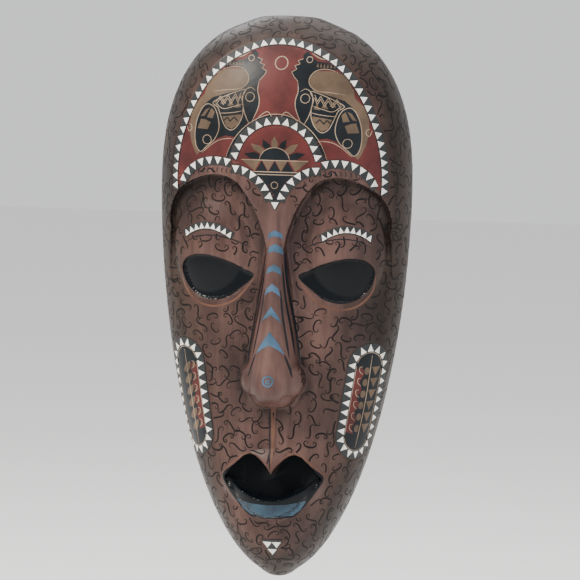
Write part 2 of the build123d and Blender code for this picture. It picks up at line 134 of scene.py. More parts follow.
# Carved body: one block of light hardwood, hollowed behind, cut with chisels, sanded,
# stained red brown and varnished. Its grooves are filled level under the mastic here.
def copy_nodes(names, label):
    """One mesh made of copies of CAD nodes, welded."""
    bpy.ops.object.select_all(action="DESELECT")
    for name in names:
        cad[name].select_set(True)
    bpy.context.view_layer.objects.active = cad[names[0]]
    bpy.ops.object.duplicate()
    bpy.ops.object.join()
    copy = bpy.context.object
    copy.parent = None
    copy.matrix_world = Matrix.Identity(4)
    copy.name = label
    copy.data.name = label
    bpy.ops.object.mode_set(mode="EDIT")
    bpy.ops.mesh.select_all(action="SELECT")
    bpy.ops.mesh.remove_doubles(threshold=0.00002)
    bpy.ops.object.mode_set(mode="OBJECT")
    for key in list(copy.keys()):
        del copy[key]
    return copy


def apply_modifier(piece, kind, **settings):
    """Add a modifier with its settings and apply it at once."""
    bpy.ops.object.select_all(action="DESELECT")
    piece.select_set(True)
    bpy.context.view_layer.objects.active = piece
    modifier = piece.modifiers.new(kind, kind)
    for setting, value in settings.items():
        setattr(modifier, setting, value)
    bpy.ops.object.modifier_apply(modifier=modifier.name)


def points_of(piece):
    """Positions and normals of a mesh, in millimetres from the origin."""
    spots = np.zeros(len(piece.data.vertices) * 3)
    normals = np.zeros(len(piece.data.vertices) * 3)
    piece.data.vertices.foreach_get("co", spots)
    piece.data.vertices.foreach_get("normal", normals)
    return spots.reshape(-1, 3) * 1000, normals.reshape(-1, 3)


def put_points(piece, spots):
    """Move a mesh's points to positions given in millimetres."""
    piece.data.vertices.foreach_set("co", (spots / 1000).ravel())
    piece.data.update()


def tree_of(pieces):
    """A search tree over several meshes."""
    corners, faces = [], []
    for piece in pieces:
        start = len(corners)
        corners += [v.co[:] for v in piece.data.vertices]
        faces += [[start + i for i in face.vertices] for face in piece.data.polygons]
    return BVHTree.FromPolygons(corners, faces)


bed_names = sorted(name for name in cad if name.endswith("_bed"))
shell_names = sorted(name for name in cad if name.endswith("_shells"))
body = copy_nodes(["mask_body"] + bed_names + shell_names, "carved_body")
voxel, body_triangles = 0.00125, 185000
apply_modifier(body, "REMESH", mode="VOXEL", voxel_size=voxel, adaptivity=0.0)
apply_modifier(body, "SMOOTH", factor=0.5, iterations=4)
foot = chin * 1000 - 2.0
ends = body.vertex_groups.new(name="ends")
ends.add([v.index for v in body.data.vertices if not 0.013 < v.co.z - chin < 0.486], 1.0,
         "REPLACE")
apply_modifier(body, "SMOOTH", factor=0.5, iterations=60, vertex_group="ends")


def curve(points, step=1.0, closed=False):
    """A smooth line through points, as points about a step apart."""
    ring = [np.array(p, float) for p in points]
    count = len(ring)
    made = []
    for i in range(count if closed else count - 1):
        if closed:
            a, b, c, d = (ring[(i + k) % count] for k in (-1, 0, 1, 2))
        else:
            b, c = ring[i], ring[i + 1]
            a = ring[i - 1] if i else 2 * b - c
            d = ring[i + 2] if i + 2 < count else 2 * c - b
        parts = max(1, int(np.linalg.norm(c - b) / step))
        for k in range(parts):
            t = k / parts
            made.append(0.5 * (2 * b + (c - a) * t + (2 * a - 5 * b + 4 * c - d) * t * t
                               + (3 * b - a - 3 * c + d) * t ** 3))
    if not closed:
        made.append(ring[-1])
    return np.array(made)


def mirrored(points):
    """Points thrown over the middle of the face."""
    return [(-x, v) for x, v in points]


def inside(outline, spots):
    """Signed distance to a closed outline for many flat points, positive inside."""
    spots = np.asarray(spots, float)
    a = np.asarray(outline, float)
    b = np.roll(a, -1, axis=0)
    near = np.full(len(spots), 1e9)
    odd = np.zeros(len(spots), bool)
    for (ax, ay), (bx, by) in zip(a, b):
        wx, wy = bx - ax, by - ay
        along = (spots[:, 0] - ax) * wx + (spots[:, 1] - ay) * wy
        t = np.clip(along / (wx * wx + wy * wy + 1e-12), 0, 1)
        near = np.minimum(near, np.hypot(spots[:, 0] - ax - t * wx, spots[:, 1] - ay - t * wy))
        if by != ay:
            over = (ay > spots[:, 1]) != (by > spots[:, 1])
            odd ^= over & (spots[:, 0] < ax + wx * (spots[:, 1] - ay) / wy)
    return np.where(odd, near, -near)


def height_view(spots):
    """Across and height above the chin of points given in millimetres."""
    return np.stack([spots[:, 0], spots[:, 2] - foot], axis=1)


eye_edge = [(20, 272.5), (31, 279), (43, 284.5), (64, 289.5), (79, 287), (86.5, 278),
            (83, 264), (72.5, 253), (58, 249), (44, 252), (34, 259)]
mouth_edge = [(0, 94.5), (8, 106), (20, 113), (33, 104.5), (45.5, 93), (39, 80), (31, 69),
              (20, 58),
              (10, 56.5)]
eye_outlines = [curve(points, 1.5, True) for points in (eye_edge, mirrored(eye_edge)[::-1])]
mouth_outline = curve(mouth_edge + mirrored(mouth_edge[:0:-1]), 1.5, True)
spots, normals = points_of(body)
inlay_tree = tree_of([cad[name] for name in bed_names])
inlay_near = np.array([inlay_tree.find_nearest(Vector(p / 1000))[3] for p in spots]) * 1000
bed_sink, bed_reach = 0.45, 1.6
spots -= normals * (bed_sink * np.clip(bed_reach - inlay_near, 0, 1))[:, None]
view = height_view(spots)
crown_lift, chin_drop = 3.4, 3.0
crown_share = np.clip((view[:, 1] - 480) / 18, 0, 1)
spots[:, 2] += crown_lift * crown_share ** 2 * np.clip(1 - (spots[:, 0] / 42) ** 2, 0, 1)
chin_share = np.clip((16 - view[:, 1]) / 14, 0, 1)
spots[:, 2] -= chin_drop * chin_share ** 2 * np.clip(1 - (spots[:, 0] / 18) ** 2, 0, 1)
nostril_x, nostril_v, nostril_rise, nostril_depth = 15.5, 165, 3.0, 4.0
outside = spots[:, 1] < -40
for side in (-1, 1):
    nostril = np.hypot((view[:, 0] - side * nostril_x) / 6.0, (view[:, 1] - nostril_v) / 4.2)
    spots[:, 2] += outside * (spots[:, 1] < -55) * nostril_rise * np.clip(1 - nostril, 0, 1)
    spots[:, 1] += outside * (spots[:, 1] < -55) * nostril_depth * np.clip(1 - nostril, 0, 1)
put_points(body, spots)
faces_before = len(body.data.polygons) * 2
apply_modifier(body, "DECIMATE", ratio=min(1.0, body_triangles / faces_before))
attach(body, "mask")
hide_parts("mask_body")

# Black lacquer covers the eyes, the mouth and the lower lip: how far each point lies
# inside those parts is kept with the mesh. The same is kept for the greyer margin, and so is
# how closely other wood hems each point in, which darkens the wood as painted shade.
spots, normals = points_of(body)
view = height_view(spots)
lacquer = np.maximum(inside(eye_outlines[0], view), inside(eye_outlines[1], view))
lacquer = np.maximum(lacquer, inside(mouth_outline, view))
lacquer = np.where((spots[:, 1] < -30) & (normals[:, 1] < 0.7), lacquer, -9.0)
body_tree = tree_of([body])
# Painted shade: rays from each forward point count how much of its view nearby wood closes off, and
# that share later darkens the colour under the brow and in other hollows.
ways = [Vector((math.cos(t) * s, math.sin(t) * s, (1 - s * s) ** 0.5))
        for t, s in ((0, 0.55), (2.1, 0.55), (4.2, 0.55), (1, 0.85), (2.26, 0.85), (3.5, 0.85),
                     (4.8, 0.85), (6, 0.85))]
painted_recess_shade = np.zeros(len(spots))
for number in np.flatnonzero((spots[:, 1] < -14) & (normals[:, 1] < 0.5)):
    normal = Vector(normals[number])
    turned = normal.to_track_quat("Z", "Y")
    start = Vector(spots[number]) / 1000 + normal * 0.0005
    met = sum(body_tree.ray_cast(start, turned @ way, 0.028)[0] is not None for way in ways)
    painted_recess_shade[number] = met / len(ways)
for name, values in (("lacquer", lacquer), ("margin", np.clip((spots[:, 1] + 62) / 26, 0, 1)),
                     ("painted_recess_shade", painted_recess_shade)):
    kept = body.data.attributes.new(name, "FLOAT", "POINT")
    kept.data.foreach_set("value", values.astype(np.float32))

# Hardwood under a red brown stain and satin varnish, greyer on the margin, black
# lacquer on the eyes and mouth, and painted shade darkening the recesses.
stained_wood, shader = new_material("stained_wood")
coords = add_node(stained_wood, "ShaderNodeTexCoord").outputs["Object"]
grain_map = add_node(stained_wood, "ShaderNodeMapping",
                     {"Vector": coords, "Scale": (110, 110, 10)})
grain = add_node(stained_wood, "ShaderNodeTexNoise", {
    "Vector": grain_map.outputs["Vector"], "Scale": 1.0, "Detail": 6.0, "Roughness": 0.62})
cloud = add_node(stained_wood, "ShaderNodeTexNoise",
                 {"Vector": coords, "Scale": 16.0, "Detail": 4.0})
tone = add_node(stained_wood, "ShaderNodeValToRGB", {"Fac": cloud.outputs["Fac"]}, stops=[
    (0.30, linear("#42302d")), (0.50, linear("#5d4540")), (0.72, linear("#73564e"))])
margin_tone = add_node(stained_wood, "ShaderNodeValToRGB", {"Fac": cloud.outputs["Fac"]}, stops=[
    (0.30, linear("#211813")), (0.50, linear("#2f241e")), (0.72, linear("#3e2f27"))])
at_margin = add_node(stained_wood, "ShaderNodeAttribute", attribute_name="margin")
wood_tone = add_node(stained_wood, "ShaderNodeMix", {
    "Factor": at_margin.outputs["Fac"], "A": tone.outputs["Color"],
                                                     "B": margin_tone.outputs["Color"]},
    data_type="RGBA")
streak = add_node(stained_wood, "ShaderNodeValToRGB", {"Fac": grain.outputs["Fac"]}, stops=[
    (0.35, linear("#b4aaa4")), (0.65, linear("#ffffff"))])
wood_colour = add_node(stained_wood, "ShaderNodeMix", {
    "Factor": 0.75, "A": wood_tone.outputs["Result"], "B": streak.outputs["Color"]},
    data_type="RGBA", blend_type="MULTIPLY")
# Painted shade: the wood colour is pulled toward near black #160e0c where the surface is hemmed in,
# standing in for shade in the recesses; the same share raises roughness.
shade_attribute = add_node(stained_wood, "ShaderNodeAttribute", attribute_name="painted_recess_shade")
painted_shade_share = add_node(stained_wood, "ShaderNodeMapRange", {
    "Value": shade_attribute.outputs["Fac"], "From Min": 0.05, "From Max": 0.5, "To Max": 0.88})
wood_colour = add_node(stained_wood, "ShaderNodeMix", {
    "Factor": painted_shade_share.outputs["Result"], "A": wood_colour.outputs["Result"],
    "B": linear("#160e0c")}, data_type="RGBA")
in_lacquer = add_node(stained_wood, "ShaderNodeAttribute", attribute_name="lacquer")
lacquered = add_node(stained_wood, "ShaderNodeMapRange", {
    "Value": in_lacquer.outputs["Fac"], "From Min": -0.15, "From Max": 0.15})
colour = add_node(stained_wood, "ShaderNodeMix", {
    "Factor": lacquered.outputs["Result"], "A": wood_colour.outputs["Result"],
    "B": linear("#090d11")}, data_type="RGBA")
polish = add_node(stained_wood, "ShaderNodeMapRange", {
    "Value": cloud.outputs["Fac"], "From Min": 0.3, "From Max": 0.7, "To Min": 0.34,
                                                       "To Max": 0.48})
gloss = add_node(stained_wood, "ShaderNodeMix", {
    "Factor": lacquered.outputs["Result"], "A": polish.outputs["Result"], "B": 0.2})
gloss = add_node(stained_wood, "ShaderNodeMath", {
    0: gloss.outputs["Result"], 1: painted_shade_share.outputs["Result"]}, operation="MAXIMUM")
relief = add_node(stained_wood, "ShaderNodeBump", {
    "Height": grain.outputs["Fac"], "Strength": 0.10, "Distance": 0.0006})
links = stained_wood.node_tree.links
links.new(colour.outputs["Result"], shader.inputs["Base Color"])
shine = add_node(stained_wood, "ShaderNodeMapRange", {
    "Value": lacquered.outputs["Result"], "To Min": 0.24, "To Max": 0.16})
links.new(shine.outputs["Result"], shader.inputs["Specular IOR Level"])
links.new(gloss.outputs["Value"], shader.inputs["Roughness"])
links.new(relief.outputs["Normal"], shader.inputs["Normal"])
body.data.materials.clear()
body.data.materials.append(stained_wood)


# Red ground of the forehead: a thin coat of oil paint, brushed on the wood between
# the rows of chips. All painted parts are thin closed skins that follow the wood.
def paint_material(name, code, dark, rough=0.42):
    """A satin paint with slightly cloudy colour."""
    material, shader = new_material(name)
    place = add_node(material, "ShaderNodeTexCoord").outputs["Object"]
    cloud = add_node(material, "ShaderNodeTexNoise",
                     {"Vector": place, "Scale": 45.0, "Detail": 5.0})
    tone = add_node(material, "ShaderNodeValToRGB", {"Fac": cloud.outputs["Fac"]}, stops=[
        (0.34, linear(dark)), (0.62, linear(code))])
    material.node_tree.links.new(tone.outputs["Color"], shader.inputs["Base Color"])
    shader.inputs["Roughness"].default_value = rough
    shader.inputs["Specular IOR Level"].default_value = 0.22
    return material


def sight(origin, normal, up, reach=70.0):
    """A way to throw flat points onto the wood: across and up of a plane facing out."""
    normal = Vector(normal).normalized()
    up = (Vector(up) - normal * Vector(up).dot(normal)).normalized()
    across = up.cross(normal)
    origin = Vector(origin)

    def place(u, v):
        start = origin + across * u + up * v + normal * reach
        hit, facing, _, _ = body_tree.ray_cast(start / 1000, -normal, 2 * reach / 1000)
        if hit is None:
            return None
        if facing.dot(normal) < 0:
            facing = -facing
        return hit * 1000, facing
    return place


face_on = sight((0, -60, foot), (0, -1, 0), (0, 0, 1))


def solid_of(label, tops, lows, faces, material, ride="mask"):
    """A thin closed skin from its upper and lower points and its upper faces."""
    count = len(tops)
    sides = {}
    for face in faces:
        for a, b in zip(face, face[1:] + face[:1]):
            if (b, a) in sides:
                del sides[(b, a)]
            else:
                sides[(a, b)] = True
    shape = [tuple(face) for face in faces]
    shape += [tuple(i + count for i in reversed(face)) for face in faces]
    shape += [(b, a, a + count, b + count) for a, b in sides]
    mesh = bpy.data.meshes.new(label)
    mesh.from_pydata([tuple(v / 1000) for v in tops + lows], [], shape)
    mesh.update()
    made = bpy.data.objects.new(label, mesh)
    bpy.context.scene.collection.objects.link(made)
    mesh.materials.append(material)
    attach(made, ride)
    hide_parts("mask_body")
    return made


def paint(label, outlines, place, lift, material, grid=1.6):
    """Coats of one colour inside closed outlines, following the wood."""
    tops, lows, faces = [], [], []
    for outline in outlines:
        edge = np.asarray(outline, float)
        dense = []
        for a, b in zip(edge, np.roll(edge, -1, axis=0)):
            parts = max(1, int(np.ceil(np.linalg.norm(b - a) / grid)))
            dense += [a + (b - a) * k / parts for k in range(parts)]
        dense = np.array(dense)
        lo, hi = dense.min(axis=0), dense.max(axis=0)
        us = np.arange(lo[0], hi[0], grid)
        vs = np.arange(lo[1], hi[1], grid * 0.87)
        mesh_spots = np.array([(u + (row % 2) * grid / 2, v) for row,
                               v in enumerate(vs) for u in us])
        if len(mesh_spots):
            mesh_spots = mesh_spots[inside(dense, mesh_spots) > 0.45 * grid]
        flat = [Vector(p) for p in dense] + [Vector(p) for p in mesh_spots]
        flat_out, _, triangles, _, _, _ = geometry.delaunay_2d_cdt(
            flat, [], [list(range(len(dense)))], 1, 1e-5)
        index = {}
        for number, spot in enumerate(flat_out):
            met = place(spot.x, spot.y)
            if met:
                index[number] = len(tops)
                tops.append(met[0] + met[1] * lift)
                lows.append(met[0] - met[1] * 0.2)
        for face in triangles:
            if all(number in index for number in face):
                faces.append([index[number] for number in face])
    return solid_of(label, tops, lows, faces, material)


def ribbons(label, lines, lift, material, ride="mask"):
    """Brush or burnt lines: each has its points, its widths and its way onto the wood."""
    tops, lows, faces = [], [], []
    for points, widths, place in lines:
        points = np.asarray(points, float)
        along = np.gradient(points, axis=0)
        along /= np.linalg.norm(along, axis=1)[:, None] + 1e-9
        aside = np.stack([-along[:, 1], along[:, 0]], axis=1)
        last = None
        for spot, off, width in zip(points, aside, widths):
            left = place(*(spot + off * width / 2))
            right = place(*(spot - off * width / 2))
            if not left or not right or (left[0] - right[0]).length > 3 * width + 1.0:
                last = None
                continue
            start = len(tops)
            for met in (left, right):
                tops.append(met[0] + met[1] * lift)
                lows.append(met[0] - met[1] * 0.25)
            if last is not None and (tops[start] - tops[last]).length < 5.0:
                faces.append([last, last + 1, start + 1, start])
            last = start
    used = sorted({i for face in faces for i in face})
    index = {old: new for new, old in enumerate(used)}
    return solid_of(label, [tops[i] for i in used], [lows[i] for i in used],
                    [[index[i] for i in face] for face in faces], material, ride)


def even(points, width, place=face_on, step=1.0, closed=False, taper=0.25):
    """A smooth line of one width with slightly thinner ends."""
    smooth = curve(points, step, closed)
    if closed:
        smooth = np.vstack([smooth, smooth[:1]])
        return smooth, np.full(len(smooth), width), place
    share = np.linspace(0, 1, len(smooth))
    return smooth, width * (taper + (1 - taper) * np.clip(6 * np.minimum(share, 1 - share), 0,
                                                          1)), place


def disc(x, v, radius, squash=1.0):
    """Points of a ring."""
    turns = np.linspace(0, 2 * math.pi, max(10, int(5 * radius)), endpoint=False)
    return [(x + radius * math.cos(t), v + squash * radius * math.sin(t)) for t in turns]


arch_half = [(-93.8, 350), (-93.3, 374), (-90.5, 391), (-86.4, 405), (-81, 419), (-70, 440),
             (-55, 458), (-33, 472.5), (-17, 478.5), (0, 480.5)]
arch = arch_half + mirrored(arch_half[-2::-1])
brow_half = [(88, 352), (85, 356), (78, 365.5), (66.7, 372.5), (54.2, 374.5), (44.3, 373.5),
             (36, 367.7),
             (26.5, 365.5), (18.6, 360.5), (12.4, 354.5), (6.2, 344), (0, 336)]
panel = np.vstack([curve(arch, 2.0), curve(brow_half + mirrored(brow_half[-2::-1]), 2.0)])
ground_coat, figure_coat, detail_coat, line_coat = 0.10, 0.16, 0.22, 0.28
red_paint = paint_material("red_oil_paint", "#5e2a28", "#431f1e")
paint("red_ground", [panel], face_on, ground_coat, red_paint, 2.2)

# Painted creatures: black bodies with crests and teeth, one on each side, brushed
# over the red and mirrored across the middle.
crown = 408.0
neck = [(-24, 65.5), (-20.5, 61), (-21, 58), (-16.5, 56.5), (-18.5, 53.5), (-14, 52), (-16, 49),
        (-11.7, 46.5), (-14, 42.5), (-17.7, 38.5), (-18.6, 30), (-16.8, 22.6), (-16.8, 16.6),
        (-18.7, 10.6), (-22.4, 2.3), (-30.8, -3.8), (-37.5, -12), (-45.9, -10.9), (-53.4, -13.6),
        (-61, -19.6), (-68.2, -27.2), (-73, -24.9), (-75.3, -15), (-74.6, -1.5), (-72.3, 7.5),
        (-67.8, 15), (-59.5, 22), (-46, 26.5), (-32.3, 30.2), (-28, 36.2), (-27.8, 42.3),
        (-32.3, 47.6), (-38.4, 49.2), (-50.4, 48.6), (-52, 50.8), (-43, 54.6), (-33, 56),
        (-27.8, 61)]
tan_body = [(-32.3, 47.6), (-43, 48), (-52, 46.8), (-61, 42.3), (-66.3, 31.7), (-67.8, 24.2),
            (-76.1, 16.6), (-80.3, 6), (-81.4, -6), (-79.1, -16.6), (-75.3, -25.7), (-72.6, -30),
            (-70.4, -27.2), (-74.6, -19.6), (-75.7, -9), (-74.6, 0), (-72.3, 7.5), (-67.8, 15),
            (-59.5, 22), (-46, 26.5), (-32.3, 30.2), (-28, 36.2), (-27.8, 42.3)]
breast = [(-31, 30), (-32.6, 22.6), (-31, 15), (-31.5, 6), (-35.3, -1.8), (-41, -6), (-46.6, -3.3),
          (-50.4, 3.8), (-54.2, 12.8), (-58.3, 18.4)]
leg = [(-64, 15.9), (-57.2, 12.4), (-53.4, 3), (-52.7, -6), (-56.5, -15), (-64, -21.9),
       (-69.3, -26.4),
       (-73.8, -21.1), (-75.3, -10.6), (-73.8, 1.5), (-69.3, 12)]
wing = [(-24.8, 0), (-29.3, 9), (-31.8, 19.6), (-30.8, 27.9), (-25.5, 32), (-20.2, 29.4)]
belly_low = [[(-49.5, 5.5), (-44, 6.4), (-38, 7.4), (-32.3, 8.2), (-32.5, 4), (-35.3, -1.2),
              (-41, -5),
              (-46.2, -2.7)],
             [(-73, -6), (-63.3, -6.4), (-60.5, 0), (-65.5, 2), (-70, 2.5)],
             [(-70.4, 4.6), (-66.8, 5.2), (-62, 12.8), (-66, 10.8)],
             [(-64.6, 4), (-58.8, 3.4), (-57.3, 9.4), (-60.6, 12.4)]]
teeth = [[(x, 50.2 + 0.05 * (x + 50)), (x + 1.0, 53.6 + 0.25 * (x + 50) / 2.5),
          (x + 2.0, 50.3 + 0.05 * (x + 50))]
         for x in (-49.5, -46.6, -43.7, -40.8, -37.9, -35.0)]
saws = [[(x, 12.4 - 0.18 * (x + 32)), (x + 2.9, 18.2 - 0.18 * (x + 32)),
         (x + 5.8, 13.4 - 0.18 * (x + 32))]
        for x in (-52.5, -45.6, -38.7)]
peaks = [(-56.5, 18.2), (-52.5, 23.4), (-49.5, 18.4), (-45.4, 24.6), (-42.4, 19.6), (-38.6, 26),
         (-36, 21.2),
         (-33.4, 27.2)]
black_paint = paint_material("black_oil_paint", "#161c21", "#0d1114", 0.34)
tan_paint = paint_material("tan_oil_paint", "#665443", "#4f4134")
line_paint = paint_material("scratched_lines", "#a8937d", "#7f6d5b", 0.6)


def lifted(points, side):
    """Points of a left-hand figure on the forehead, thrown to either side."""
    return [(x if side < 0 else -x - 1.0, v + crown) for x, v in points]


blacks, tans, lines, over_lines = [], [], [], []
for side in (-1, 1):
    blacks.append(lifted(neck, side)[::-side])
    tans.append(lifted(tan_body, side)[::-side])
    tans += [lifted(shape, side)[::-side] for shape in belly_low + teeth + saws]
    lines += [even(lifted(shape, side), 0.7, closed=True) for shape in (leg, breast)]
    lines += [even(lifted(wing, side), 0.7), even(lifted(neck[9:15], side), 0.7),
              even(lifted([(-58.3, 18.4), (-50, 12.6), (-41, 14.4), (-31.5, 17.4)], side), 0.6),
              even(lifted([(-53.3, 8.2), (-45, 8.8), (-38, 9.8), (-31, 11.4)], side), 0.6),
              even(lifted(disc(-25.2, 23.7, 4.0), side), 0.6, closed=True),
              even(lifted(disc(-63.4, -15.4, 4.0), side), 0.6, closed=True),
              even(lifted(disc(-26.6, 57.4, 2.6), side), 0.6, closed=True),
              even(lifted([(-52, 46.8), (-42, 49.4), (-33, 47.8), (-28, 42), (-28.4, 35.6),
                           (-35, 30.6),
                           (-48, 29), (-60, 27)], side), 0.6),
              even(lifted([(-56, 49.2), (-46, 56.5), (-36, 58.4), (-28, 63)], side), 0.8),
              even(lifted([(-19.5, 3), (-14.2, 8.3), (-9, 11.4), (-5.4, 8.3), (-6.4, 4.6),
                           (-9.6, 4.4)],
                          side), 0.7),
              even(lifted([(-83.5, -4), (-81.5, -9), (-78.6, -7), (-79.5, -3), (-82, -3)], side),
                   0.7),
              even(lifted([(-68, -27.6), (-60, -20.4), (-52, -15.4), (-44, -13.6), (-38, -14)],
                          side), 0.6)]
    for shift in (0.0, -2.6):
        zig = [(x, v + shift) for x, v in peaks]
        for a, b in zip(zig, zig[1:]):
            lines.append(even(lifted([a, b], side), 0.55, taper=1.0))
    for number in range(7):
        start = neck[2 + number]
        lines.append(even(lifted([start, neck[3 + number]], side), 0.5, taper=1.0))
    zag = [(-49, 1.6), (-45, 5.0), (-42.5, 1.6), (-38.8, 5.6), (-35.5, 2.2)]
    for a, b in zip(zag, zag[1:]):
        over_lines.append(even(lifted([a, b], side), 1.0, taper=1.0))
paint("creature_black", blacks, face_on, figure_coat, black_paint, 1.6)

# Sun in the medallion: a dark half disc, pointed rays, a row of triangles and a small
# dark field down to the point.
sun_x, sun_v = -1.0, crown - 31.5
half_turn = np.linspace(0, math.pi, 22)
sun = [(sun_x + 13.4 * math.cos(t), sun_v + 11.4 * math.sin(t)) for t in half_turn]
field = [(-20, 366.6), (20, 366.6), (14, 358), (9.5, 351.5), (4.8, 343), (0, 336), (-4.8, 343),
         (-9.5, 351.5), (-14, 358)]
ray_shapes = []
for number, turn_angle in enumerate((14, 39, 64, 90, 116, 141, 166)):
    angle = math.radians(turn_angle)
    reach = 30 - 6.5 * math.sin(angle) + (1.5 if number % 2 else 0)
    shape = []
    for bend, far in ((-0.19, 14.2), (-0.17, 0.72 * reach), (0.02, reach), (0.17, 0.78 * reach),
                      (0.19, 14.2)):
        shape.append((sun_x + far * math.cos(angle + bend),
                      sun_v + 0.86 * far * math.sin(angle + bend)))
    ray_shapes.append(shape)
edge_arc = [(-45.5, 377), (-41.5, 388), (-35.5, 398), (-27, 406.8), (-17.5, 413), (-8, 416.6),
            (0, 417.4)]
inner_arc = [(-36, 380), (-32, 389), (-27.5, 396.5), (-21.5, 402.5), (-14, 407.5), (-7, 410),
             (0, 410.5)]
arc_band = edge_arc + mirrored(edge_arc[-2::-1]) + mirrored(inner_arc) + inner_arc[-2::-1]
ups = [[(x - 5.4, 366.8), (x + 5.4, 366.8), (x, 376.0)] for x in (-12.2, -0.6, 11.0)]
downs = [[(x, 366.9), (x + 5.4, 376.3), (x - 5.4, 376.3)] for x in (-18.0, -6.4, 5.2, 16.8)]
wide_downs = [[(-20.6, 368.4), (-18.6, 367.0), (-13.4, 376.3), (-30, 376.3)],
              [(19.8, 368.4), (17.8, 367.0), (12.4, 376.3), (29, 376.3)]]
paint("medallion_black", [sun, field, arc_band] + ray_shapes[::2] + ups, face_on, figure_coat,
      black_paint, 1.4)
paint("tan_patches", tans + ray_shapes[1::2] + downs[1:3] + wide_downs, face_on, detail_coat,
      tan_paint, 1.5)
lines += [even([(-31, 376.6), (29, 376.6)], 0.6, taper=1.0),
          even([(-21, 366.3), (20, 366.3)], 0.7, taper=1.0),
          even([(-18.5, 363.9), (18, 363.9)], 0.7, taper=1.0), even(sun, 0.6),
          even(disc(-0.5, 354.6, 3.0), 0.6, closed=True),
          even(disc(1.0, 462, 5.6), 0.9, closed=True)]
lines.append(even(edge_arc + mirrored(edge_arc[-2::-1]), 0.6))
ribbons("scratched_lines", lines, line_coat, line_paint)
zigzag_coat = 0.27
ribbons("dark_zigzags", over_lines, zigzag_coat, black_paint)


# Cheek ovals: a black coat brushed inside each ring of chips, with a red edge, tan
# leaves and drops over it, and fine lines scratched through with a needle.
def stadium(half_width, half_height, count=14):
    """An upright oval with straight sides."""
    straight = half_height - half_width
    turns = np.linspace(0, math.pi, count)
    upper = [(half_width * math.cos(t), straight + half_width * math.sin(t)) for t in turns]
    return upper + [(-x, -v) for x, v in upper]


cheek_x, cheek_v, cheek_turn, cheek_slant = 78.0, 161.0, math.radians(44), 0.15
for side in (-1, 1):
    start = face_on(side * cheek_x, cheek_v)[0]
    out = Vector((side * math.sin(cheek_turn), -math.cos(cheek_turn), 0))
    place = sight(start, out, (side * cheek_slant, 0, 1), 40.0)
    hand = "right" if side > 0 else "left"
    paint(f"cheek_ground_{hand}", [stadium(14.2, 45.2)], place, ground_coat, black_paint, 1.8)
    red_edge = [(-13.4 * side, v) for v in np.linspace(-28, 28, 12)]
    red_back = [((-6.5 - 1.6 * math.sin(v * 0.45)) * side, v) for v in np.linspace(30, -30, 40)]
    loop = red_edge + red_back
    paint(f"cheek_red_{hand}", [loop], place, figure_coat, red_paint, 1.6)
    shapes = []
    for number in range(6):
        v = -27 + number * 10.4
        if side > 0:
            shapes.append([(2.2, v + 6.6), (11.6, v + 8.0), (7.4, v - 0.8)])
            shapes.append(disc(-2.6, v + 2.5, 2.7, 1.25))
        else:
            leaf = [(-4.5, v - 2.5), (0.6, v - 3.4), (4.8, v + 0.4), (5.6, v + 5.6),
                    (1.6, v + 4.4), (-2.6, v + 1.8)]
            shapes.append([tuple(q) for q in curve(leaf, 1.2, True)])
            shapes.append([(8.0, v - 1.0), (12.0, v + 1.6), (8.6, v + 4.2)])
    paint(f"cheek_tan_{hand}", shapes, place, detail_coat, tan_paint, 1.3)
    marks = [even([(0.6, -42), (1.4, 0), (0.2, 42)], 0.7, place),
             even(stadium(13.6, 44.4), 0.6, place, closed=True)]
    for number in range(6):
        v = -27 + number * 10.4
        marks.append(even([(-6.2 * side, v - 1), (-9.8 * side, v + 1.4), (-10.4 * side, v + 5),
                           (-7.4 * side, v + 6)],
                          0.6, place))
    ribbons(f"cheek_lines_{hand}", marks, line_coat, line_paint)

# Nose and lip paint: blue grey bands brushed across the ridge, with thin knife cuts fanning
# down both sides. A blue grey sheet on the lower lip front is painted reflection; paler strips on
# the lower lid ledges, the upper lip edges and the philtrum are painted highlight, and a dark line
# beside the philtrum is painted shade.
band_paint = paint_material("blue_grey_paint", "#46627a", "#2f4554")
bands = [[(-6.4, 306.5), (-5.2, 311.5), (0.6, 314.6), (6.2, 311.5), (7.4, 306.5), (4, 308.2),
          (0.6, 309), (-3, 308.2)],
         [(-5.8, 293.5), (-4.8, 299), (1.0, 302.5), (6.6, 299), (7.6, 292.5), (4, 294.6),
          (0.8, 295.6), (-3, 295)],
         [(-6.0, 275.5), (-4.8, 281), (0.6, 284.5), (5.8, 281), (7.2, 274.5), (4, 277),
          (0.4, 278.4), (-3, 277.4)],
         [(-6.8, 256.5), (-5.0, 263), (0, 267.5), (5.2, 263), (7.4, 255.5), (3.6, 259), (0, 261),
          (-3.6, 259.6)],
         [(-8.6, 233.5), (-4.6, 240.5), (0, 247.5), (4.8, 240.8), (9.4, 233), (5, 236.4),
          (0.2, 240), (-4.6, 236.8)],
         [(-12.5, 205), (-7.5, 214.5), (0, 225.6), (7.8, 214.8), (13.2, 204.6), (7.4, 209.6),
          (0.2, 213.6), (-6.8, 209.8)]]
band_coat = 0.12
paint("nose_bands", bands, face_on, band_coat, band_paint, 1.0)
cuts_and_groove_shade, lit_edge_strips = [], []
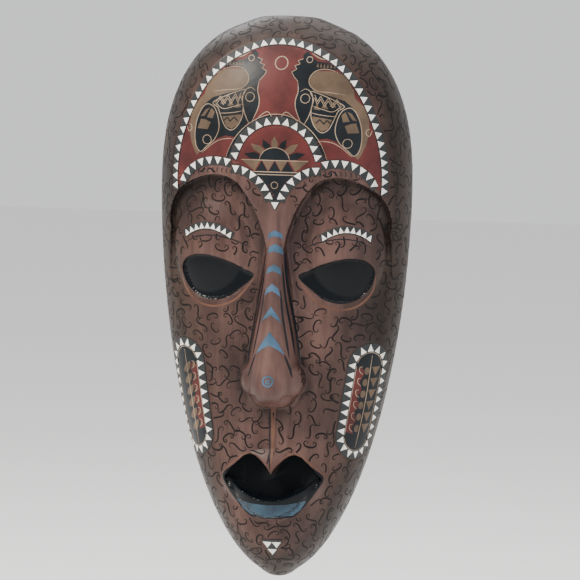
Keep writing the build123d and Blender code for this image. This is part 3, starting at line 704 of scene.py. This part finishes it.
for side in (-1, 1):
    cuts_and_groove_shade += [even([(side * x, v) for x, v in line], width) for line, width in (
        ([(7.8, 298), (11.5, 268), (17.5, 236), (22.5, 205), (24, 190)], 1.6),
        ([(7.4, 284), (11, 255), (16, 228), (20, 204)], 1.3),
        ([(7.2, 262), (9.6, 240), (13.5, 218), (16.5, 202)], 1.3),
        ([(12.8, 205), (16.5, 195), (20.0, 184)], 1.4))]
    cuts_and_groove_shade.append(even([(side * x, v) for x, v in ((23, 297), (38, 303.5), (56, 307), (72, 305.5),
                                                 (84, 299))], 0.9))
    # Painted highlight: pale strips on the lower lid ledges and along the upper lip edges stand for
    # the light those ledges catch.
    low_lid = [(19, 270), (33, 253.5), (44, 246.5), (58, 243.5), (73, 247.5), (84, 259.5),
               (87.5, 275)]
    lit_edge_strips.append(even([(side * x, v) for x, v in low_lid], 1.7))
    lobe = [(47, 93.5), (34, 106), (20.2, 114.8), (8, 107.8), (0.8, 98.6)]
    lit_edge_strips.append(even([(side * x, v) for x, v in lobe], 1.0))
    for number in range(13):
        x = 30 + 4.4 * number
        v = 367.5 - 0.0062 * (x - 50) ** 2
        cuts_and_groove_shade.append(even([(side * x, v + 1.4), (side * (x + 1.4), v - 1.2),
                          (side * (x + 0.6), v - 3.8)], 0.7))
# Painted shade: the dark line down the left of the philtrum is the shaded wall of the groove, drawn
# along with the knife cuts.
cuts_and_groove_shade.append(even([(-2.6, 155), (-2.4, 130), (-1.4, 108), (0, 97)], 1.2))
# Painted highlight: a pale strip on the lit wall of the philtrum groove, widest at the nose.
groove = curve([(0.4, 155), (0.4, 130), (0.2, 110), (0, 98)], 1.0)
lit_edge_strips.append((groove, np.linspace(4.4, 1.2, len(groove)), face_on))
# Painted highlight: a paler wood colour for the lit edge strips.
edge_highlight_paint = paint_material("painted_edge_highlight", "#6a4a3b", "#54382d", 0.42)
highlight_coat = 0.09
ribbons("lit_edge_highlights", lit_edge_strips, highlight_coat, edge_highlight_paint)
# Painted reflection: a blue grey sheet on the front face of the lower lip stands for the light
# mirrored in its black gloss.
lip_reflection_paint = paint_material("painted_lip_reflection", "#3a5263", "#22323d", 0.2)
lip_front_reflection = [(-31, 72.5), (-26, 64), (-19, 58.8), (0, 57.4), (19, 58.8), (26, 64), (31, 72.5),
             (16, 70), (0, 69.2),
             (-16, 70)]
paint("lip_front_reflection", [lip_front_reflection], face_on, ground_coat, lip_reflection_paint, 1.4)
punch = [even(disc(0.4, 182, 4.4), 1.5, closed=True),
         even(disc(0.4, 181.5, 1.6), 1.2, closed=True)]
ribbons("nose_punch", punch, band_coat, band_paint)
ribbons("fine_cuts_and_groove_shade", cuts_and_groove_shade, ground_coat, black_paint)

# Burned scrolls: hooks and double hooks drawn freehand with a hot wire over all the
# wood that isn't painted, thin at the ends and heavy in the middle.
random.seed(11)
eyelid_field = [(22, 274), (40, 288), (64, 294), (84, 290), (90, 277), (86, 262), (74, 248),
                (58, 244), (40, 248),
                (28, 258)]
nose_field = [(-13, 340), (13, 340), (13, 240), (25, 176), (25, 160), (-25, 160), (-25, 176),
              (-13, 240)]
across = np.arange(-125, 126)
upwards = np.arange(-5, 510)
cells = np.stack(np.meshgrid(across, upwards, indexing="ij"), axis=-1).reshape(-1, 2)
taken = np.zeros(len(cells), bool)
for outline in [panel, mouth_outline, nose_field] + eye_outlines + [eyelid_field,
                                                                    mirrored(eyelid_field)]:
    taken |= inside(outline, cells) > -2.6
taken = taken.reshape(len(across), len(upwards))
scroll_lines = []
faces_out = [face for face in body.data.polygons if face.normal.y < 0.35 and face.center.y < -0.010]
random.shuffle(faces_out)
grid_of = {}
scroll_gap, scroll_tries, scroll_step, scroll_sight = 9.8, 60000, 0.7, 16.0


def free_spot(spot):
    """Whether burned lines may cross a point of the wood."""
    if spot[1] < -30 and taken[int(round(spot[0])) + 125, int(round(spot[2] - foot)) + 5]:
        return False
    if any((spot - centre).length < 47 and side * spot[0] > 0 and inside_cheek(side, spot)
           for side, centre in cheek_centres.items()):
        return False
    return inlay_tree.find_nearest(spot / 1000)[3] > 0.0016


def inside_cheek(side, spot):
    """Whether a point lies within a cheek's painted oval."""
    off = spot - cheek_centres[side]
    return abs(off.z) < 44 and abs(off.x - side * cheek_slant * off.z) < 12


def hook(length, sign, sharp, double):
    """Flat points of one hook, or of a double hook, about its middle."""
    parts = int(length / scroll_step)
    heading, u, v = 0.0, 0.0, 0.0
    points = []
    for number in range(parts + 1):
        share = 2 * number / parts - 1
        swing = share / (abs(share) + 1e-6) if double else 1.0
        bend = sharp * abs(share) ** 1.4 * swing + (0 if double else 0.06)
        points.append((u, v))
        heading += sign * bend * scroll_step
        u += scroll_step * math.cos(heading)
        v += scroll_step * math.sin(heading)
    return np.array(points) - np.mean(points, axis=0)


def longest_run(good):
    """Where the longest stretch of true values starts, and where it has ended."""
    best, run = (0, 0), None
    for number, fine in enumerate(good + [False]):
        if fine and run is None:
            run = number
        if not fine and run is not None:
            if number - run > best[1] - best[0]:
                best = (run, number)
            run = None
    return best


cheek_centres = {side: face_on(side * cheek_x, cheek_v)[0] for side in (-1, 1)}
for face in faces_out[:scroll_tries]:
    spot = face.center * 1000
    cell = tuple(int(value // scroll_gap) for value in spot)
    beside = [(cell[0] + i, cell[1] + j, cell[2] + k)
              for i in (-1, 0, 1) for j in (-1, 0, 1) for k in (-1, 0, 1)]
    if any(near in grid_of and (grid_of[near] - spot).length < scroll_gap for near in beside):
        continue
    open_air = body_tree.ray_cast(face.center + face.normal * 0.001, face.normal, 0.2)[0] is None
    if not open_air or not free_spot(spot):
        continue
    grid_of[cell] = spot.copy()
    turned = random.uniform(0, 2 * math.pi)
    side_up = Vector((math.cos(turned), 0.1, math.sin(turned)))
    if abs(side_up.normalized().dot(face.normal)) > 0.95:
        continue
    place = sight(spot, face.normal, side_up, scroll_sight)
    double = random.random() < 0.45
    length = random.uniform(19, 32)
    sign = random.choice((-1, 1))
    sharp = random.uniform(0.75, 1.1)
    points = hook(length, sign, sharp, double)
    heavy = random.uniform(0.9, 1.5)
    swell = np.sin(np.linspace(0.05, 0.97, len(points)) * math.pi)
    widths = 0.30 + heavy * swell ** 1.3
    good = []
    for point in points:
        met = place(*point)
        good.append(met is not None and met[1].dot(face.normal) > 0.3 and free_spot(met[0]))
    first, past = longest_run(good)
    if past - first >= 7:
        scroll_lines.append((points[first:past], widths[first:past], place))
burnt = paint_material("burnt_lines", "#120b09", "#0b0706", 0.6)
scroll_coat = 0.07
ribbons("burned_scrolls", scroll_lines, scroll_coat, burnt)


# Shell chips, mastic and the steel hanger keep their built shape; only their finish is
# given here: white nacre, black filler and zinc-plated steel.
def finish(names, material):
    """Give built pieces a finish."""
    for name in names:
        cad[name].data.materials.clear()
        cad[name].data.materials.append(material)


nacre, shader = new_material("white_shell")
place = add_node(nacre, "ShaderNodeTexCoord").outputs["Object"]
pearl = add_node(nacre, "ShaderNodeTexNoise", {"Vector": place, "Scale": 160.0, "Detail": 3.0})
tone = add_node(nacre, "ShaderNodeValToRGB", {"Fac": pearl.outputs["Fac"]}, stops=[
    (0.3, linear("#ddd8cc")), (0.55, linear("#f4f1ea")), (0.75, linear("#fbfaf6"))])
nacre.node_tree.links.new(tone.outputs["Color"], shader.inputs["Base Color"])
shader.inputs["Roughness"].default_value = 0.28
finish(shell_names, nacre)
mastic, shader = new_material("black_mastic")
place = add_node(mastic, "ShaderNodeTexCoord").outputs["Object"]
fleck = add_node(mastic, "ShaderNodeTexNoise", {"Vector": place, "Scale": 300.0, "Detail": 4.0})
tone = add_node(mastic, "ShaderNodeValToRGB", {"Fac": fleck.outputs["Fac"]}, stops=[
    (0.35, linear("#0d1112")), (0.7, linear("#1d2425"))])
mastic.node_tree.links.new(tone.outputs["Color"], shader.inputs["Base Color"])
shader.inputs["Roughness"].default_value = 0.5
finish(bed_names, mastic)
zinc, shader = new_material("zinc_plated_steel")
place = add_node(zinc, "ShaderNodeTexCoord").outputs["Object"]
spangle = add_node(zinc, "ShaderNodeTexNoise", {"Vector": place, "Scale": 400.0, "Detail": 3.0})
wear = add_node(zinc, "ShaderNodeMapRange", {"Value": spangle.outputs["Fac"], "To Min": 0.25,
                                             "To Max": 0.45})
shader.inputs["Base Color"].default_value = linear("#b9bcbd")
shader.inputs["Metallic"].default_value = 1.0
zinc.node_tree.links.new(wear.outputs["Result"], shader.inputs["Roughness"])
finish(["hanger_strap", "hanger_ring", "hanger_screws"], zinc)
